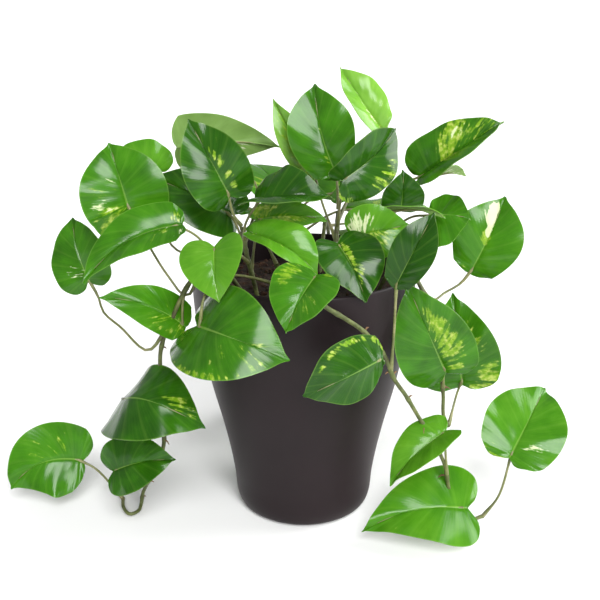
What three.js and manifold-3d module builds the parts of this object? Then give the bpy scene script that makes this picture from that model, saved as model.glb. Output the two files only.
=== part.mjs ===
// Potted pothos (golden pothos vine) in a tall tapered plastic pot.
// Units are millimetres. +Z is up, the origin is the centre of the pot's underside,
// and the plant's front looks along -Y. Every leaf is one solid: its blade and its stalk.
import * as THREE from 'three';
import { mergeVertices } from 'three/addons/utils/BufferGeometryUtils.js';
import Module from 'manifold-3d';

const wasm = await Module();
wasm.setup();

// ---- driving dimensions -------------------------------------------------------------------

const POT_HEIGHT = 208;
const POT_RIM_RADIUS = 88;
const POT_FOOT_RADIUS = 56;
const POT_WALL = 3;
const POT_FLOOR = 4;
const POT_FACETS = 40;

// Outside of the pot from the foot to the rim: a straight foot, a flaring body, an upright collar.
const POT_PROFILE = [
  [POT_FOOT_RADIUS - 9, 0],
  [POT_FOOT_RADIUS - 3, 2.5],
  [POT_FOOT_RADIUS, 9],
  [58, 28],
  [61.5, 50],
  [67.5, 78],
  [75, 108],
  [81, 138],
  [86, 165],
  [POT_RIM_RADIUS, 192],
  [POT_RIM_RADIUS, POT_HEIGHT - 2],
  [POT_RIM_RADIUS - 1, POT_HEIGHT],
];

const SOIL_LEVEL = 190;
const SOIL_MOUND = 4;
const GAP = 0.3;
const SMALLEST_EDGE = 0.04; // shorter edges left by joining a stalk to its blade are closed up

const BLADE_THICKNESS = 1.2;
const BLADE_STATIONS = 7;
const STALK_RADIUS = 1.5;
const STALK_SIDES = 5;
const STALK_STEPS = 5;
const STALK_UNDER_BLADE = 0.05; // share of the blade's length that the stalk runs on beneath it
const STEM_SIDES = 6;
const STEM_STEP = 14;

// Half of a blade's margin, from the notch at the stalk to the tip. The first number is a
// share of the blade's length and the second a share of its half width.
const BLADE_MARGIN = [
  [0.0, 0.02],
  [-0.09, 0.21],
  [-0.13, 0.48],
  [-0.09, 0.73],
  [0.04, 0.92],
  [0.25, 1.0],
  [0.47, 0.93],
  [0.68, 0.7],
  [0.86, 0.34],
  [0.95, 0.1],
  [1.0, 0.012],
];
const SHOULDER_ROUNDING = 0.1; // how far a blade without lobes curves in, as a share of its length
const VEIN_SLANT = 1.6; // how strongly the side veins lean towards the tip

// ---- the plant ----------------------------------------------------------------------------

// Each stem has its route from the soil to its growing end, and its leaves. A leaf leaves the
// stem at a share of the route, and its stalk may pass through via. base is where the stalk
// meets the blade, face is the direction that the upper surface looks to, fold is how far the
// two halves stand up from the midrib in degrees, arch is how far the midrib bows out towards
// face as a share of its length, sweep is how far it swings sideways, as such a share, broaden
// is how much broader the blade is at its tip than at its stalk, as a share of its width, and
// lobe scales how far the lobes reach back past the stalk.
const USUAL = { fold: 10, arch: 0.08, sweep: 0, broaden: 0, lobe: 1, via: [] };

const STEMS = [
  {
    name: 'centre_stem',
    radius: 2.6,
    route: [[22, -30, 158], [23, -29, 192], [24, -28, 230], [26, -18, 254]],
    leaves: [
      {
        at: 1, base: [26, -8, 277], tip: [8, 12, 345], face: [-1, -9, 2], width: 55, fold: 12,
        sweep: 0.05, broaden: 0.8, lobe: 0,
      },
      {
        at: 0.93, via: [[40, 8, 270]],
        base: [62, 26, 307], tip: [29, 36, 355], face: [4, -7, 4], width: 40, fold: 35, sweep: 0.08,
        broaden: 0.6, lobe: 0.2,
      },
      {
        at: 0.86, base: [27, -44, 283], tip: [69, -12, 315], face: [6, -7, 0], width: 50, fold: 25,
        broaden: 0.2,
      },
      {
        at: 0.78, via: [[14, 4, 256]],
        base: [8, 14, 280], tip: [-24, 16, 333], face: [-1, -9, -1], width: 28, fold: 30,
      },
      {
        at: 0.7, base: [24, -57, 240], tip: [44, -86, 206], face: [2, -6, 7], width: 54, fold: 22,
        broaden: 0.2, lobe: 1,
      },
    ],
  },
  {
    name: 'left_stem',
    radius: 2.4,
    route: [[-32, -30, 158], [-36, -34, 194], [-43, -37, 227], [-46, -34, 246]],
    leaves: [
      {
        at: 1, via: [[-52, -38, 257]],
        base: [-54, -38, 270], tip: [-83, -31, 325], face: [1, -9, 2], width: 50, fold: 14,
        broaden: 0.1, lobe: 0.7,
      },
      {
        at: 0.9, via: [[-43, -41, 250]],
        base: [-35, -46, 269], tip: [22, -49, 272], face: [1, -3, 9], width: 56, fold: 32,
        arch: 0.12, sweep: -0.12, lobe: 0.7,
      },
      {
        at: 0.86, via: [[-36, -4, 257], [-42, 24, 271]],
        base: [-100, 28, 294], tip: [-18, 48, 291], face: [1, 9, 2], width: 42, arch: 0.04,
        sweep: -0.04, broaden: -0.7, lobe: 0.3,
      },
      { at: 0.8, base: [-56, -2, 247], tip: [-119, 12, 274], face: [-2, -7, 6], width: 48 },
      {
        at: 0.7, base: [-63, -76, 243], tip: [-59, -97, 209], face: [-3, -7, 4], width: 45, fold: 18,
        broaden: -0.35, lobe: 1.3,
      },
      { at: 0.6, base: [-36, -29, 250], tip: [17, -34, 252], face: [0, -5, 9], width: 34, fold: 6 },
    ],
  },
  {
    name: 'front_stem',
    radius: 2.2,
    route: [[-8, -34, 158], [-10, -40, 192], [-16, -50, 212], [-20, -56, 224]],
    leaves: [
      {
        at: 1, base: [-36, -67, 250], tip: [10, -86, 226], face: [2, -5, 7], width: 42, fold: 40,
        arch: 0.12, broaden: 0.8, lobe: 0.8,
      },
      {
        at: 0.94, via: [[-12, -76, 215], [-2, -101, 221]],
        base: [8, -112, 234], tip: [-13, -135, 202], face: [-3, -6, 6], width: 50, fold: 20, lobe: 0.5,
      },
      {
        at: 0.66, via: [[-52, -58, 216], [-69, -84, 212]],
        base: [-76, -87, 188], tip: [-10, -126, 178], face: [-4, -6, 6], width: 73, fold: 5,
        arch: 0.22, sweep: -0.03, broaden: 0.2, lobe: 2.2,
      },
    ],
  },
  {
    name: 'right_stem',
    radius: 2.4,
    route: [[46, -6, 158], [52, -4, 192], [60, 2, 224], [66, 6, 244]],
    leaves: [
      {
        at: 1, via: [[70, 16, 262]],
        base: [92, 17, 273], tip: [153, 17, 317], face: [-5, -5, 6], width: 54, fold: 45, arch: 0,
        lobe: 0.6,
      },
      { at: 0.86, base: [98, 42, 266], tip: [133, 54, 268], face: [2, 5, 8], width: 36 },
      { at: 0.94, base: [74, -6, 251], tip: [75, -8, 283], face: [2, -9, 3], width: 35, lobe: 0.3 },
      { at: 0.8, base: [95, -24, 252], tip: [123, -34, 253], face: [0, -6, 8], width: 56, fold: -20 },
      { at: 0.76, base: [51, -26, 254], tip: [104, -37, 256], face: [0, 3, 9], width: 26 },
      { at: 0.7, base: [37, -47, 242], tip: [76, -49, 252], face: [0, -9, 3], width: 43 },
    ],
  },
  {
    name: 'left_runner',
    radius: 2.2,
    route: [
      [-44, -14, 158], [-50, -20, 193], [-72, -42, 222], [-85, -50, 207], [-96, -51, 186],
      [-109, -48, 152], [-109, -48, 112], [-111, -48, 70], [-124, -38, 38], [-134, -24, 14],
      [-136, -24, 4], [-137, -33, 3], [-143, -38, 3], [-150, -28, 3], [-153, -14, 3],
    ],
    leaves: [
      {
        at: 0.16, base: [-89, -42, 250], tip: [-160, -65, 213], face: [-2, -6, 7], width: 42,
        fold: 24, arch: 0.06, sweep: -0.1, lobe: 0.3,
      },
      {
        at: 0.23, via: [[-88, -44, 195], [-102, -36, 208], [-117, -24, 228]],
        base: [-133, -12, 254], tip: [-148, 4, 302], face: [1, -8, 3], width: 67, fold: 14, lobe: 2.4,
      },
      {
        at: 0.38, via: [[-119, -46, 152], [-142, -30, 165], [-157, -18, 173], [-162, -10, 183]],
        base: [-169, -8, 195], tip: [-184, 14, 241], face: [-3, -9, 3], width: 50,
      },
      {
        at: 0.3, base: [-89, -48, 172], tip: [-148, -66, 202], face: [4, -7, 4], width: 36, fold: 14,
        sweep: -0.07, lobe: 0.6,
      },
      {
        at: 0.56, base: [-141, -50, 112], tip: [-74, -82, 106], face: [-2, -5, 7], width: 70,
        fold: -14, arch: 0.32, sweep: -0.03, broaden: 0.2, lobe: 1.6,
      },
      {
        at: 0.72, base: [-151, -52, 51], tip: [-101, -58, 65], face: [-2, -7, 5], width: 48,
        fold: 20, sweep: 0.04,
      },
      {
        at: 1, base: [-185, -10, 37], tip: [-244, -24, 18], face: [1, -8, 4], width: 64,
        sweep: -0.17, broaden: 0.1, lobe: 0.5,
      },
      {
        at: 0.1, via: [[-68, -24, 219], [-94, -14, 220], [-108, 6, 227], [-113, 34, 246]],
        base: [-117, 40, 272], tip: [-152, 50, 289], face: [0, -5, 8], width: 46,
      },
    ],
  },
  {
    name: 'front_runner',
    radius: 2.2,
    route: [
      [4, -50, 158], [3, -58, 193], [2, -78, 216], [12, -97, 208], [28, -96, 197], [41, -91, 186],
      [58, -79, 162], [67, -70, 139], [77, -66, 123], [87, -63, 105], [100, -62, 83],
      [110, -60, 61], [115, -58, 38], [123, -54, 16], [134, -48, 4], [147, -41, 3],
    ],
    leaves: [
      {
        at: 0.5, via: [[64, -84, 180]],
        base: [63, -87, 216], tip: [89, -82, 269], face: [-2, -9, 2], width: 34, fold: 14,
        broaden: 0.8, lobe: 0,
      },
      {
        at: 0.42, base: [55, -104, 170], tip: [0, -125, 150], face: [3, -8, 0], width: 54, fold: -18,
        arch: 0.12, sweep: -0.06, broaden: 0.5, lobe: 0.2,
      },
      { at: 0.8, base: [108, -68, 95], tip: [64, -88, 60], face: [-4, -4, 7], width: 39, fold: 28 },
      {
        at: 0.92, base: [129, -66, 26], tip: [45, -81, 15], face: [0, -6, 8], width: 56,
        sweep: -0.06, broaden: -0.6, lobe: 0.8,
      },
      {
        at: 1, via: [[156, -53, 30]],
        base: [160, -60, 67], tip: [197, -10, 105], face: [0, -6, 7], width: 68, broaden: 0.25,
        lobe: 0.5,
      },
    ],
  },
  {
    name: 'right_runner',
    radius: 2.2,
    route: [
      [53, -22, 158], [57, -24, 192], [74, -42, 221], [87, -50, 203], [94, -51, 183],
      [102, -48, 150], [108, -46, 116], [109, -47, 98], [114, -44, 87],
    ],
    leaves: [
      {
        at: 0.36, via: [[98, -30, 188], [112, -8, 186], [124, -4, 192]],
        base: [131, -3, 200], tip: [156, 4, 260], face: [-2, -9, 2], width: 59, sweep: -0.02,
        broaden: 0.8, lobe: 0.1,
      },
      { at: 0.84, base: [108, -54, 137], tip: [75, -58, 210], face: [0, -9, 0], width: 60, lobe: 0.7 },
      { at: 1, base: [127, -22, 112], tip: [116, -18, 188], face: [-1, -9, 0], width: 64, lobe: 0.5 },
    ],
  },
  {
    name: 'back_stem',
    radius: 2.4,
    route: [[-6, 24, 158], [-8, 28, 193], [-12, 40, 220], [-12, 50, 236]],
    leaves: [
      { at: 1, base: [-20, 64, 246], tip: [-44, 122, 262], face: [0, 3, 9], width: 60 },
      { at: 0.94, base: [22, 66, 246], tip: [62, 112, 264], face: [2, 3, 9], width: 58 },
      { at: 0.76, base: [-60, 62, 236], tip: [-112, 102, 240], face: [-2, 5, 8], width: 58 },
      { at: 0.7, base: [48, 44, 240], tip: [110, 66, 232], face: [2, 2, 9], width: 60 },
    ],
  },
  {
    name: 'back_runner',
    radius: 2.2,
    route: [
      [12, 30, 158], [14, 38, 192], [19, 76, 222], [22, 97, 207], [23, 104, 182], [16, 104, 142],
      [8, 98, 102], [4, 94, 76], [0, 98, 40], [-8, 108, 10], [-18, 118, 3], [-34, 124, 3],
    ],
    leaves: [
      { at: 0.3, base: [50, 108, 206], tip: [98, 116, 160], face: [3, 8, 5], width: 62 },
      { at: 0.42, base: [-14, 114, 184], tip: [-68, 124, 146], face: [-2, 8, 5], width: 66 },
      { at: 0.58, base: [34, 116, 120], tip: [70, 128, 72], face: [2, 8, 4], width: 60 },
      { at: 0.78, base: [-31, 117, 78], tip: [-84, 128, 40], face: [-2, 8, 4], width: 56 },
      { at: 1, base: [-46, 132, 12], tip: [-30, 176, 8], face: [0, -1, 9], width: 44, fold: 6 },
    ],
  },
];

// ---- solids -------------------------------------------------------------------------------

function solidOf(geometry) {
  const bare = geometry.clone();
  bare.deleteAttribute('normal');
  bare.deleteAttribute('uv');
  const merged = mergeVertices(bare, 1e-4);
  return new wasm.Manifold(new wasm.Mesh({
    numProp: 3,
    vertProperties: new Float32Array(merged.attributes.position.array),
    triVerts: new Uint32Array(merged.index.array),
  }));
}

function geometryOf(solid) {
  const mesh = solid.getMesh();
  const geometry = new THREE.BufferGeometry();
  geometry.setAttribute('position', new THREE.BufferAttribute(mesh.vertProperties, 3));
  geometry.setIndex(new THREE.BufferAttribute(mesh.triVerts, 1));
  geometry.computeVertexNormals();
  return geometry;
}

function tubeAlong(curve, radius, sides, steps) {
  const section = new THREE.Shape();
  for (let i = 0; i < sides; i += 1) {
    const turn = (2 * Math.PI * i) / sides;
    const corner = [radius * Math.cos(turn), radius * Math.sin(turn)];
    if (i === 0) section.moveTo(...corner);
    else section.lineTo(...corner);
  }
  section.closePath();
  return new THREE.ExtrudeGeometry(section, { steps, extrudePath: curve, bevelEnabled: false });
}

// ---- pot and soil -------------------------------------------------------------------------

function outsideRadius(height) {
  const above = Math.max(1, POT_PROFILE.findIndex(([, z]) => z >= height));
  const [lowRadius, lowZ] = POT_PROFILE[above - 1];
  const [highRadius, highZ] = POT_PROFILE[above];
  return THREE.MathUtils.mapLinear(height, lowZ, highZ, lowRadius, highRadius);
}

function turned(profile) {
  const points = profile.map(([radius, z]) => new THREE.Vector2(radius, z));
  const geometry = new THREE.LatheGeometry(points, POT_FACETS);
  geometry.rotateX(Math.PI / 2); // the lathe turns about Y, the pot stands along Z
  return geometry;
}

function potGeometry() {
  const inside = [192, 165, 138, 108, 78, 50, 28, 12].map((z) => [outsideRadius(z) - POT_WALL, z]);
  return turned([
    [0, 0],
    ...POT_PROFILE,
    [POT_RIM_RADIUS - POT_WALL + 0.5, POT_HEIGHT],
    [POT_RIM_RADIUS - POT_WALL, POT_HEIGHT - 3],
    ...inside,
    [POT_FOOT_RADIUS - POT_WALL - 4, POT_FLOOR],
    [0, POT_FLOOR],
  ]);
}

function soilGeometry() {
  const side = [12, 28, 50, 78, 108, 138, 165].map((z) => [outsideRadius(z) - POT_WALL - 3 * GAP, z]);
  const edge = outsideRadius(SOIL_LEVEL) - POT_WALL - 3 * GAP;
  return turned([
    [0, POT_FLOOR + GAP],
    [POT_FOOT_RADIUS - POT_WALL - 5, POT_FLOOR + GAP],
    ...side,
    [edge, SOIL_LEVEL - SOIL_MOUND],
    [edge * 0.7, SOIL_LEVEL - 1],
    [edge * 0.35, SOIL_LEVEL],
    [0, SOIL_LEVEL],
  ]);
}

// ---- leaves -------------------------------------------------------------------------------

const margin = new THREE.CatmullRomCurve3(
  BLADE_MARGIN.map(([x, y]) => new THREE.Vector3(x, y, 0)), false, 'catmullrom', 0.5);

// The blade's own axes: along the midrib, across it, and out of the upper surface.
function bladeAxes(leaf) {
  const base = new THREE.Vector3(...leaf.base);
  const along = new THREE.Vector3(...leaf.tip).sub(base);
  const length = along.length();
  along.normalize();
  const up = new THREE.Vector3(...leaf.face).projectOnPlane(along).normalize();
  const across = new THREE.Vector3().crossVectors(up, along);
  return { base, along, across, up, length };
}

// vein runs from 0 at the stalk to 1 at the tip, side from -1 to 1 across the midrib.
function bladePoint(leaf, axes, vein, side, lift) {
  const edge = margin.getPoint(vein);
  const rounding = SHOULDER_ROUNDING * (1 - leaf.lobe) * (edge.y * (1 - edge.x)) ** 2;
  edge.x = rounding + (edge.x < 0 ? edge.x * leaf.lobe : edge.x);
  const reach = Math.abs(side);
  const rib = vein ** VEIN_SLANT;
  const x = THREE.MathUtils.lerp(rib, edge.x, reach);
  const half = edge.y * reach * leaf.width / 2 * (1 + leaf.broaden * (edge.x - 0.5));
  const fold = THREE.MathUtils.degToRad(leaf.fold) * (1.3 - 0.6 * reach);
  const flat = Math.sign(side) * half * Math.cos(fold);
  const bulge = 4 * axes.length * x * (1 - x);
  const turn = Math.atan(4 * leaf.sweep * (1 - 2 * x));
  return axes.base.clone()
    .addScaledVector(axes.along, x * axes.length - flat * Math.sin(turn))
    .addScaledVector(axes.across, leaf.sweep * bulge + flat * Math.cos(turn))
    .addScaledVector(axes.up, leaf.arch * bulge + half * Math.sin(fold) + lift);
}

function bladeGeometry(leaf, axes) {
  const geometry = new THREE.BoxGeometry(1, 2, 1, BLADE_STATIONS, 4, 1);
  const places = geometry.attributes.position;
  for (let i = 0; i < places.count; i += 1) {
    const vein = places.getX(i) + 0.5;
    const lift = places.getZ(i) * BLADE_THICKNESS;
    const point = bladePoint(leaf, axes, vein, places.getY(i), lift);
    places.setXYZ(i, point.x, point.y, point.z);
  }
  return geometry;
}

function stalkCurve(leaf, axes, stemCurve, stemRadius) {
  const start = stemCurve.getPointAt(leaf.at);
  const end = bladePoint(leaf, axes, STALK_UNDER_BLADE ** (1 / VEIN_SLANT), 0, -BLADE_THICKNESS / 4);
  const via = leaf.via.map((place) => new THREE.Vector3(...place));
  if (via.length === 0) {
    const knee = start.clone().lerp(end, 0.6);
    knee.z += 0.12 * start.distanceTo(end);
    via.push(knee);
  }
  const away = via[0].clone().sub(start).setLength(stemRadius / 2);
  start.add(away);
  return new THREE.CatmullRomCurve3([start, ...via, end]);
}

function leafSolid(leaf, stemCurve, stemRadius, stemGap) {
  const axes = bladeAxes(leaf);
  const blade = solidOf(bladeGeometry(leaf, axes));
  const route = stalkCurve(leaf, axes, stemCurve, stemRadius);
  const stalk = solidOf(tubeAlong(route, STALK_RADIUS, STALK_SIDES, STALK_STEPS));
  return blade.add(stalk).subtract(stemGap).simplify(SMALLEST_EDGE);
}

// ---- assembly -----------------------------------------------------------------------------

const COLOURS = {
  pot: { color: '#372b2c', roughness: 0.45, metalness: 0 },
  soil: { color: '#231a12', roughness: 0.95, metalness: 0 },
  stem: { color: '#7a7a45', roughness: 0.6, metalness: 0 },
  leaf: { color: '#3f8a1f', roughness: 0.35, metalness: 0 },
};

const plant = new THREE.Group();

function addPiece(name, geometry, finish) {
  const mesh = new THREE.Mesh(geometry, new THREE.MeshStandardMaterial(finish));
  mesh.name = name;
  plant.add(mesh);
}

addPiece('pot', potGeometry(), COLOURS.pot);

let soil = solidOf(soilGeometry());
for (const stem of STEMS) {
  const curve = new THREE.CatmullRomCurve3(stem.route.map((place) => new THREE.Vector3(...place)));
  const steps = Math.round(curve.getLength() / STEM_STEP);
  const stemGap = solidOf(tubeAlong(curve, stem.radius + GAP, STEM_SIDES, steps));
  soil = soil.subtract(stemGap);
  addPiece(stem.name, tubeAlong(curve, stem.radius, STEM_SIDES, steps), COLOURS.stem);
  stem.leaves.forEach((drawn, index) => {
    const name = `${stem.name}_leaf_${index + 1}`;
    const leaf = { ...USUAL, ...drawn };
    addPiece(name, geometryOf(leafSolid(leaf, curve, stem.radius, stemGap)), COLOURS.leaf);
  });
}
addPiece('potting_soil', geometryOf(soil), COLOURS.soil);

export default plant;
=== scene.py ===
# Potted golden pothos: a variegated vine in a tall, tapered, dark brown plastic pot.
# Blender works in metres; the places below are in millimetres, as a gardener would measure them,
# with +Z up, the origin under the middle of the pot and the plant's front towards -Y.
import math
import random

import bpy
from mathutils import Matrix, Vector, noise


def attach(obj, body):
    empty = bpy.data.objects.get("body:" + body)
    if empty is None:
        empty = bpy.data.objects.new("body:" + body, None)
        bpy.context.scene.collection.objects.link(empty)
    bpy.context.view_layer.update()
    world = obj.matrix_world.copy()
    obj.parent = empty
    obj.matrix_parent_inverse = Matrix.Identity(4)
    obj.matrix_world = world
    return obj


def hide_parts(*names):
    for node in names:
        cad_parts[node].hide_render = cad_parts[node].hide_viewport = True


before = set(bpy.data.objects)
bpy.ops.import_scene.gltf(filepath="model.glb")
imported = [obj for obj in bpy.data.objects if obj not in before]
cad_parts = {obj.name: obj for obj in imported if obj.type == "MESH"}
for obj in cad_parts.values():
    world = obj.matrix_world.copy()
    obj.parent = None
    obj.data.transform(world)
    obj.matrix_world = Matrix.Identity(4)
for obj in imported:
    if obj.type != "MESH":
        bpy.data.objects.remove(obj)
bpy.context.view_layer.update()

MM = 0.001

# ---- the plant's plan ----

# Each stem has its route from the soil to its growing end, and its leaves. A leaf leaves the
# stem at a share of the route, and its stalk may pass through via. base is where the stalk meets
# the blade, face is where the upper surface looks, fold is how far the two halves stand up from
# the midrib in degrees, arch and sweep are how far the midrib bows towards face and sideways as
# shares of its length, broaden is how much broader the blade is at its tip than at its stalk as
# a share of its width, and lobe scales how far the lobes reach back past the stalk.
USUAL = dict(via=[], fold=10, arch=0.08, sweep=0, broaden=0, lobe=1)

STEMS = [dict(
    name="centre_stem", radius=2.6,
    route=[(22, -30, 158), (23, -29, 192), (24, -28, 230), (26, -18, 254)],
    leaves=[
        dict(at=1, base=(26, -8, 277), tip=(8, 12, 345),
             face=(-1, -9, 2), width=55, fold=12, sweep=0.05, broaden=0.8, lobe=0),
        dict(at=0.93, via=[(40, 8, 270)], base=(62, 26, 307), tip=(29, 36, 355),
             face=(4, -7, 4), width=40, fold=35, sweep=0.08, broaden=0.6, lobe=0.2),
        dict(at=0.86, base=(27, -44, 283), tip=(69, -12, 315),
             face=(6, -7, 0), width=50, fold=25, broaden=0.2),
        dict(at=0.78, via=[(14, 4, 256)], base=(8, 14, 280), tip=(-24, 16, 333),
             face=(-1, -9, -1), width=28, fold=30),
        dict(at=0.7, base=(24, -57, 240), tip=(44, -86, 206),
             face=(2, -6, 7), width=54, fold=22, broaden=0.2),
    ],
), dict(
    name="left_stem", radius=2.4,
    route=[(-32, -30, 158), (-36, -34, 194), (-43, -37, 227), (-46, -34, 246)],
    leaves=[
        dict(at=1, via=[(-52, -38, 257)], base=(-54, -38, 270), tip=(-83, -31, 325),
             face=(1, -9, 2), width=50, fold=14, broaden=0.1, lobe=0.7),
        dict(at=0.9, via=[(-43, -41, 250)], base=(-35, -46, 269), tip=(22, -49, 272),
             face=(1, -3, 9), width=56, fold=32, arch=0.12, sweep=-0.12, lobe=0.7),
        dict(at=0.86, via=[(-36, -4, 257), (-42, 24, 271)], base=(-100, 28, 294), tip=(-18, 48, 291),
             face=(1, 9, 2), width=42, arch=0.04, sweep=-0.04, broaden=-0.7, lobe=0.3),
        dict(at=0.8, base=(-56, -2, 247), tip=(-119, 12, 274), face=(-2, -7, 6), width=48),
        dict(at=0.7, base=(-63, -76, 243), tip=(-59, -97, 209),
             face=(-3, -7, 4), width=45, fold=18, broaden=-0.35, lobe=1.3),
        dict(at=0.6, base=(-36, -29, 250), tip=(17, -34, 252), face=(0, -5, 9), width=34, fold=6),
    ],
), dict(
    name="front_stem", radius=2.2,
    route=[(-8, -34, 158), (-10, -40, 192), (-16, -50, 212), (-20, -56, 224)],
    leaves=[
        dict(at=1, base=(-36, -67, 250), tip=(10, -86, 226),
             face=(2, -5, 7), width=42, fold=40, arch=0.12, broaden=0.8, lobe=0.8),
        dict(at=0.94, via=[(-12, -76, 215), (-2, -101, 221)], base=(8, -112, 234), tip=(-13, -135, 202),
             face=(-3, -6, 6), width=50, fold=20, lobe=0.5),
        dict(at=0.66, via=[(-52, -58, 216), (-69, -84, 212)], base=(-76, -87, 188), tip=(-10, -126, 178),
             face=(-4, -6, 6), width=73, fold=5, arch=0.22, sweep=-0.03, broaden=0.2, lobe=2.2),
    ],
), dict(
    name="right_stem", radius=2.4,
    route=[(46, -6, 158), (52, -4, 192), (60, 2, 224), (66, 6, 244)],
    leaves=[
        dict(at=1, via=[(70, 16, 262)], base=(92, 17, 273), tip=(153, 17, 317),
             face=(-5, -5, 6), width=54, fold=45, arch=0, lobe=0.6),
        dict(at=0.86, base=(98, 42, 266), tip=(133, 54, 268), face=(2, 5, 8), width=36),
        dict(at=0.94, base=(74, -6, 251), tip=(75, -8, 283), face=(2, -9, 3), width=35, lobe=0.3),
        dict(at=0.8, base=(95, -24, 252), tip=(123, -34, 253), face=(0, -6, 8), width=56, fold=-20),
        dict(at=0.76, base=(51, -26, 254), tip=(104, -37, 256), face=(0, 3, 9), width=26),
        dict(at=0.7, base=(37, -47, 242), tip=(76, -49, 252), face=(0, -9, 3), width=43),
    ],
), dict(
    name="left_runner", radius=2.2,
    route=[(-44, -14, 158), (-50, -20, 193), (-72, -42, 222), (-85, -50, 207), (-96, -51, 186),
           (-109, -48, 152), (-109, -48, 112), (-111, -48, 70), (-124, -38, 38), (-134, -24, 14),
           (-136, -24, 4), (-137, -33, 3), (-143, -38, 3), (-150, -28, 3), (-153, -14, 3)],
    leaves=[
        dict(at=0.16, base=(-89, -42, 250), tip=(-160, -65, 213),
             face=(-2, -6, 7), width=42, fold=24, arch=0.06, sweep=-0.1, lobe=0.3),
        dict(at=0.23, via=[(-88, -44, 195), (-102, -36, 208), (-117, -24, 228)],
             base=(-133, -12, 254), tip=(-148, 4, 302), face=(1, -8, 3), width=67, fold=14, lobe=2.4),
        dict(at=0.38, via=[(-119, -46, 152), (-142, -30, 165), (-157, -18, 173), (-162, -10, 183)],
             base=(-169, -8, 195), tip=(-184, 14, 241), face=(-3, -9, 3), width=50),
        dict(at=0.3, base=(-89, -48, 172), tip=(-148, -66, 202),
             face=(4, -7, 4), width=34, fold=2, sweep=-0.07, lobe=0.2),
        dict(at=0.56, base=(-141, -50, 112), tip=(-74, -82, 106),
             face=(-2, -5, 7), width=70, fold=-14, arch=0.32, sweep=-0.03, broaden=0.2, lobe=1.6),
        dict(at=0.72, base=(-151, -52, 51), tip=(-101, -58, 65),
             face=(-2, -7, 5), width=48, fold=20, sweep=0.04),
        dict(at=1, base=(-185, -10, 37), tip=(-244, -24, 18),
             face=(1, -8, 4), width=64, sweep=-0.17, broaden=0.1, lobe=0.5),
        dict(at=0.1, via=[(-68, -24, 219), (-94, -14, 220), (-108, 6, 227), (-113, 34, 246)],
             base=(-117, 40, 272), tip=(-152, 50, 289), face=(0, -5, 8), width=46),
    ],
), dict(
    name="front_runner", radius=2.2,
    route=[(4, -50, 158), (3, -58, 193), (2, -78, 216), (12, -97, 208), (28, -96, 197), (41, -91, 186),
           (58, -79, 162), (67, -70, 139), (77, -66, 123), (87, -63, 105), (100, -62, 83),
           (110, -60, 61), (115, -58, 38), (123, -54, 16), (134, -48, 4), (147, -41, 3)],
    leaves=[
        dict(at=0.5, via=[(64, -84, 180)], base=(63, -87, 216), tip=(89, -82, 269),
             face=(-2, -9, 2), width=34, fold=14, broaden=0.8, lobe=0),
        dict(at=0.42, base=(55, -104, 170), tip=(0, -125, 150),
             face=(3, -8, 0), width=54, fold=-18, arch=0.12, sweep=-0.06, broaden=0.5, lobe=0.2),
        dict(at=0.8, base=(108, -68, 95), tip=(64, -88, 60), face=(-4, -4, 7), width=39, fold=28),
        dict(at=0.92, base=(129, -66, 26), tip=(45, -81, 15),
             face=(0, -6, 8), width=56, sweep=-0.06, broaden=-0.6, lobe=0.8),
        dict(at=1, via=[(156, -53, 30)], base=(160, -60, 67), tip=(197, -10, 105),
             face=(0, -6, 7), width=68, broaden=0.25, lobe=0.5),
    ],
), dict(
    name="right_runner", radius=2.2,
    route=[(53, -22, 158), (57, -24, 192), (74, -42, 221), (87, -50, 203), (94, -51, 183),
           (102, -48, 150), (108, -46, 116), (109, -47, 98), (114, -44, 87)],
    leaves=[
        dict(at=0.36, via=[(98, -30, 188), (112, -8, 186), (124, -4, 192)],
             base=(131, -3, 200), tip=(156, 4, 260),
             face=(-2, -9, 2), width=59, sweep=-0.02, broaden=0.8, lobe=0.1),
        dict(at=0.84, base=(108, -54, 137), tip=(75, -58, 210), face=(0, -9, 0), width=60, lobe=0.7),
        dict(at=1, base=(127, -22, 112), tip=(116, -18, 188), face=(-1, -9, 0), width=64, lobe=0.5),
    ],
), dict(
    name="back_stem", radius=2.4,
    route=[(-6, 24, 158), (-8, 28, 193), (-12, 40, 220), (-12, 50, 236)],
    leaves=[
        dict(at=1, base=(-20, 64, 246), tip=(-44, 122, 262), face=(0, 3, 9), width=60),
        dict(at=0.94, base=(22, 66, 246), tip=(62, 112, 264), face=(2, 3, 9), width=58),
        dict(at=0.76, base=(-60, 62, 236), tip=(-112, 102, 240), face=(-2, 5, 8), width=58),
        dict(at=0.7, base=(48, 44, 240), tip=(110, 66, 232), face=(2, 2, 9), width=60),
    ],
), dict(
    name="back_runner", radius=2.2,
    route=[(12, 30, 158), (14, 38, 192), (19, 76, 222), (22, 97, 207), (23, 104, 182), (16, 104, 142),
           (8, 98, 102), (4, 94, 76), (0, 98, 40), (-8, 108, 10), (-18, 118, 3), (-34, 124, 3)],
    leaves=[
        dict(at=0.3, base=(50, 108, 206), tip=(98, 116, 160), face=(3, 8, 5), width=62),
        dict(at=0.42, base=(-14, 114, 184), tip=(-68, 124, 146), face=(-2, 8, 5), width=66),
        dict(at=0.58, base=(34, 116, 120), tip=(70, 128, 72), face=(2, 8, 4), width=60),
        dict(at=0.78, base=(-31, 117, 78), tip=(-84, 128, 40), face=(-2, 8, 4), width=56),
        dict(at=1, base=(-46, 132, 12), tip=(-30, 176, 8), face=(0, -1, 9), width=44, fold=6),
    ],
)]

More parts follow.
